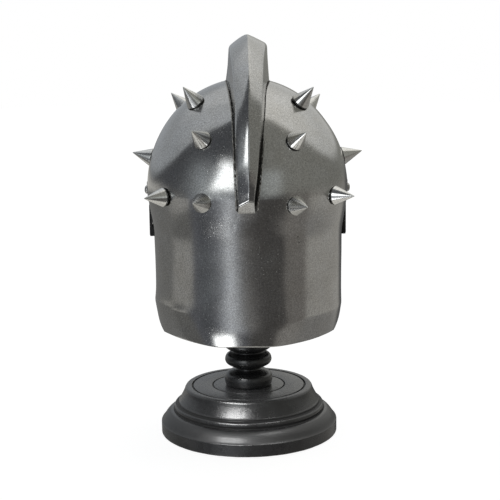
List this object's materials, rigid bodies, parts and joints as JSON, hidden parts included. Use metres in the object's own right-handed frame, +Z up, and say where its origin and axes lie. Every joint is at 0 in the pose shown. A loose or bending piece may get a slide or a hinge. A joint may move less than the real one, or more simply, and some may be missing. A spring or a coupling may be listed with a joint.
{
  "type": "gladiator helmet",
  "caption": "Arena helmet of polished steel with a comb crest, cone studs, a neck guard and two hinged face doors, resting on a turned black stand.",
  "frame": {"origin": "centre of the stand's underside, on the surface it stands on", "axes": "+Z up, the helmet's face towards -Y, its neck guard towards +Y, the wearer's left towards +X"},
  "size_m": [0.2467, 0.2584, 0.4244],
  "materials": {
    "sheet_steel": "hand-polished mild steel sheet with faint hammer marks and fine scratches",
    "turned_steel": "bright turned steel",
    "fixing_steel": "zinc-grey fixings",
    "black_wood": "turned hardwood, satin black lacquer",
    "leather": "brown vegetable-tanned leather",
    "felt": "dark wool felt"
  },
  "bodies": {
    "stand": {"stand_base": "black_wood", "stand_post": "black_wood", "stand_head": "black_wood", "head_pad": "felt", "base_felt": "felt", "base_bolt": "fixing_steel", "base_washer": "fixing_steel", "head_screw": "fixing_steel"},
    "helmet": {"skull_shell": "sheet_steel", "crest": "sheet_steel", "brow_plate": "sheet_steel", "brow_rivets": "turned_steel", "spikes_lower": "turned_steel", "spikes_middle": "turned_steel", "spikes_upper": "turned_steel", "spike_screws": "fixing_steel", "spike_washers": "fixing_steel", "hinge_fixed_left": "fixing_steel", "hinge_fixed_right": "fixing_steel", "hinge_pin_left": "turned_steel", "hinge_pin_right": "turned_steel", "temple_rivets": "turned_steel", "neck_rivets": "fixing_steel", "liner_band": "leather", "liner_crown_back": "leather", "liner_crown_front": "leather", "liner_lace": "leather"},
    "visor_left": {"visor_plate_left": "sheet_steel", "hinge_leaf_left": "fixing_steel", "leaf_rivets_left": "fixing_steel", "eye_grille_left": "sheet_steel", "grille_rivets_left": "turned_steel", "rib_left": "sheet_steel", "rib_rivets_left": "turned_steel", "catch_keeper": "turned_steel", "keeper_rivets": "turned_steel"},
    "visor_right": {"visor_plate_right": "sheet_steel", "hinge_leaf_right": "fixing_steel", "leaf_rivets_right": "fixing_steel", "eye_grille_right": "sheet_steel", "grille_rivets_right": "turned_steel", "rib_right": "sheet_steel", "rib_rivets_right": "turned_steel", "catch_pivot": "turned_steel"},
    "catch": {"catch_button": "turned_steel"}
  },
  "joints": [
    {"name": "helmet_lift", "type": "slide", "parent": "stand", "child": "helmet", "axis": [0, 0, 1], "range_m": [0, 0.3]},
    {"name": "visor_left_hinge", "type": "hinge", "parent": "helmet", "child": "visor_left", "pos_m": [0.1003, -0.001, 0.232], "axis": [0, 0, 1], "range_deg": [0, 110]},
    {"name": "visor_right_hinge", "type": "hinge", "parent": "helmet", "child": "visor_right", "pos_m": [-0.1029, -0.001, 0.232], "axis": [0, 0, -1], "range_deg": [0, 110]},
    {"name": "catch_turn", "type": "hinge", "parent": "visor_right", "child": "catch", "pos_m": [-0.0153, -0.1195, 0.165], "axis": [0, 1, 0], "range_deg": [0, 90]}
  ]
}
